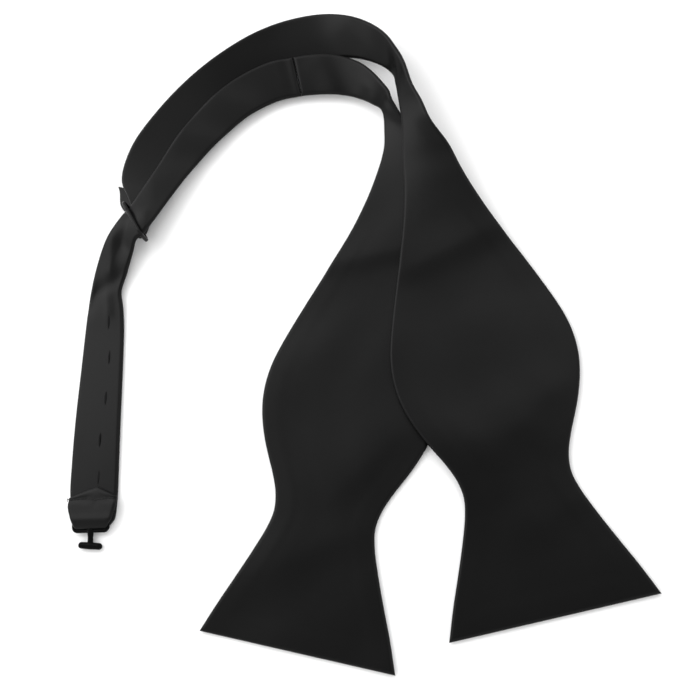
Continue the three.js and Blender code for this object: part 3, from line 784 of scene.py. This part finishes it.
running = []
for x in np.linspace(-STITCH_SPAN, STITCH_SPAN, STITCHES):
    spots = [on_stitch_line(x + share * STITCH_HALF, depth) for share, depth in STITCH_PATH]
    running.append(tube(spots, STITCH_RADIUS, THREAD_SIDES))
loose = on_stitch_line(LOOSE_START, 0.0)
running.append(tube([loose + np.array(step) for step in LOOSE_END], THREAD_RADIUS, THREAD_SIDES))
flap_stitches = show("flap_stitches", joined("flap_stitches", running), thread_black)
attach(flap_stitches, "tail")
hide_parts("flap_stitch_thread")


# ---- Slide ring: steel wire bent to a rectangle, butted on its upper bar, black enamel ----
# The strap's end is turned round its lower bar, and the adjuster strap runs under its upper one.
def black_enamel(name, gloss):
    """Thick black lacquer on steel: a faint ripple and rubbed patches, with the given gloss."""
    material = bpy.data.materials.new(name)
    material.use_nodes = True
    tree = material.node_tree
    shader = tree.nodes["Principled BSDF"]
    coords = tree.nodes.new("ShaderNodeTexCoord")
    ripple = tree.nodes.new("ShaderNodeTexNoise")
    ripple.inputs["Scale"].default_value = 900
    ripple.inputs["Detail"].default_value = 3
    tree.links.new(coords.outputs["Object"], ripple.inputs["Vector"])
    rubbed = tree.nodes.new("ShaderNodeMapRange")
    rubbed.inputs["From Min"].default_value = 0.35
    rubbed.inputs["From Max"].default_value = 0.75
    rubbed.inputs["To Min"].default_value = 0.16
    rubbed.inputs["To Max"].default_value = 0.32
    tree.links.new(ripple.outputs["Fac"], rubbed.inputs["Value"])
    tree.links.new(rubbed.outputs["Result"], shader.inputs["Roughness"])
    tones = tree.nodes.new("ShaderNodeMapRange")
    tones.inputs["To Min"].default_value = 0.0015
    tones.inputs["To Max"].default_value = 0.004
    tree.links.new(ripple.outputs["Fac"], tones.inputs["Value"])
    tree.links.new(tones.outputs["Result"], shader.inputs["Base Color"])
    bump = tree.nodes.new("ShaderNodeBump")
    bump.inputs["Distance"].default_value = 0.02 * mm
    bump.inputs["Strength"].default_value = 0.5
    tree.links.new(ripple.outputs["Fac"], bump.inputs["Height"])
    tree.links.new(bump.outputs["Normal"], shader.inputs["Normal"])
    shader.inputs["Specular IOR Level"].default_value = gloss
    return material


ring_enamel = black_enamel("ring_enamel", 0.13)
RING_WIRE = 1.5
RING_HALF, RING_RISE = 8.15, 7.0
RING_CORNER = 1.6
# The butt joint on the upper bar: its place, its gap, and how much one end stands over the other.
RING_JOINT, RING_JOINT_GAP, RING_JOINT_STEP = -4.1, 0.35, 0.12
RING_SIDES = 20


def bent_rectangle(half, low, high, corner, steps=9):
    """Places round a rectangle with round corners, as (along, height), from its top left."""
    corners = [(half - corner, high - corner, 90), (half - corner, low + corner, 0),
               (-half + corner, low + corner, -90), (-half + corner, high - corner, -180)]
    run = []
    for along, height, start in corners:
        for step in range(steps + 1):
            angle = math.radians(start - 90 * step / steps)
            run.append((along + corner * math.cos(angle), height + corner * math.sin(angle)))
    return run


ring_run = bent_rectangle(RING_HALF, 0, RING_RISE, RING_CORNER)
ring_run = [(RING_JOINT + RING_JOINT_GAP, RING_RISE), *ring_run,
            (RING_JOINT, RING_RISE + RING_JOINT_STEP)]
ring_route = [(bar_x + BAR_ALONG[0] * along, bar_y + BAR_ALONG[1] * along, bar_z + height)
              for along, height in ring_run]
ring_wire = tube(ring_route, RING_WIRE / 2, RING_SIDES)
ring = show("slide_ring_wire", joined("slide_ring_wire", [ring_wire]), ring_enamel)
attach(ring, "ring")
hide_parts("slide_ring")


# ---- T-hook: one casting, a base loop with a stem and a crossbar, black enamel ----
# Its base bar turns in the folded end of the tail. The crossbar goes through a buttonhole.
HOOK_WIDTH, HOOK_DROP, HOOK_WIRE = 13.0, 4.0, 1.4
HOOK_CORNER = 1.5
LOOP_SIDES, HOOK_SIDES = 16, 20
STEM_LENGTH = 5.2
# The stem flares where it meets the loop and the crossbar: [distance past the loop, radius].
STEM = [(-0.4, 1.35), (0.6, 1.1), (2.2, 0.95), (STEM_LENGTH - 1.2, 1.0), (STEM_LENGTH, 1.25)]
CROSSBAR, CROSSBAR_END = 9.2, 1.25
CROSSBAR_SKEW = math.radians(5)
# The crossbar swells slightly at the stem: [share of its half-length, radius].
CROSSBAR_RUN = [(-1, 1.2), (-0.5, 1.22), (0, 1.28), (0.5, 1.22), (1, 1.2)]
HOOK_TILT = math.radians(7)
HOOK_GRAIN = 0.13
SOFTEN_FACTOR, SOFTEN_ROUNDS = 0.5, 5
loop_run = bent_rectangle(HOOK_WIDTH / 2, -HOOK_DROP, 0, HOOK_CORNER)
bar_tip = np.array([math.cos(CROSSBAR_SKEW), -math.sin(CROSSBAR_SKEW), 0])
bar_tip = bar_tip * (CROSSBAR / 2 - CROSSBAR_END)
bar_middle = np.array([0, -HOOK_DROP - STEM_LENGTH, 0])
hook_parts = [
    tube([(along, height, 0) for along, height in loop_run], HOOK_WIRE / 2, LOOP_SIDES, closed=True),
    tube([(0, -HOOK_DROP - past, 0) for past, _ in STEM], [radius for _, radius in STEM],
         HOOK_SIDES),
    tube([bar_middle + bar_tip * share for share, _ in CROSSBAR_RUN],
         [radius for _, radius in CROSSBAR_RUN], HOOK_SIDES),
]
hook_mesh = joined("t_hook_casting", hook_parts)
# The parts are fused into one casting at a thousand times their size, which so fine a grain needs.
hook_mesh.transform(Matrix.Scale(1 / mm, 4))
hook = show("t_hook_casting", hook_mesh, black_enamel("hook_enamel", 0.03))
fuse = hook.modifiers.new("fuse", "REMESH")
fuse.mode = "VOXEL"
fuse.voxel_size = HOOK_GRAIN
soften = hook.modifiers.new("soften", "SMOOTH")
soften.factor = SOFTEN_FACTOR
soften.iterations = SOFTEN_ROUNDS
ready = hook.evaluated_get(bpy.context.evaluated_depsgraph_get())
fused = bpy.data.meshes.new_from_object(ready)
hook.modifiers.clear()
fused.transform(Matrix.Translation(Vector((pivot_x, pivot_y, pivot_z)) * mm)
                @ Matrix.Rotation(HOOK_TILT, 4, "X") @ Matrix.Scale(mm, 4))
fused.shade_smooth()
hook.data = fused
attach(hook, "hook")
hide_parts("t_hook")
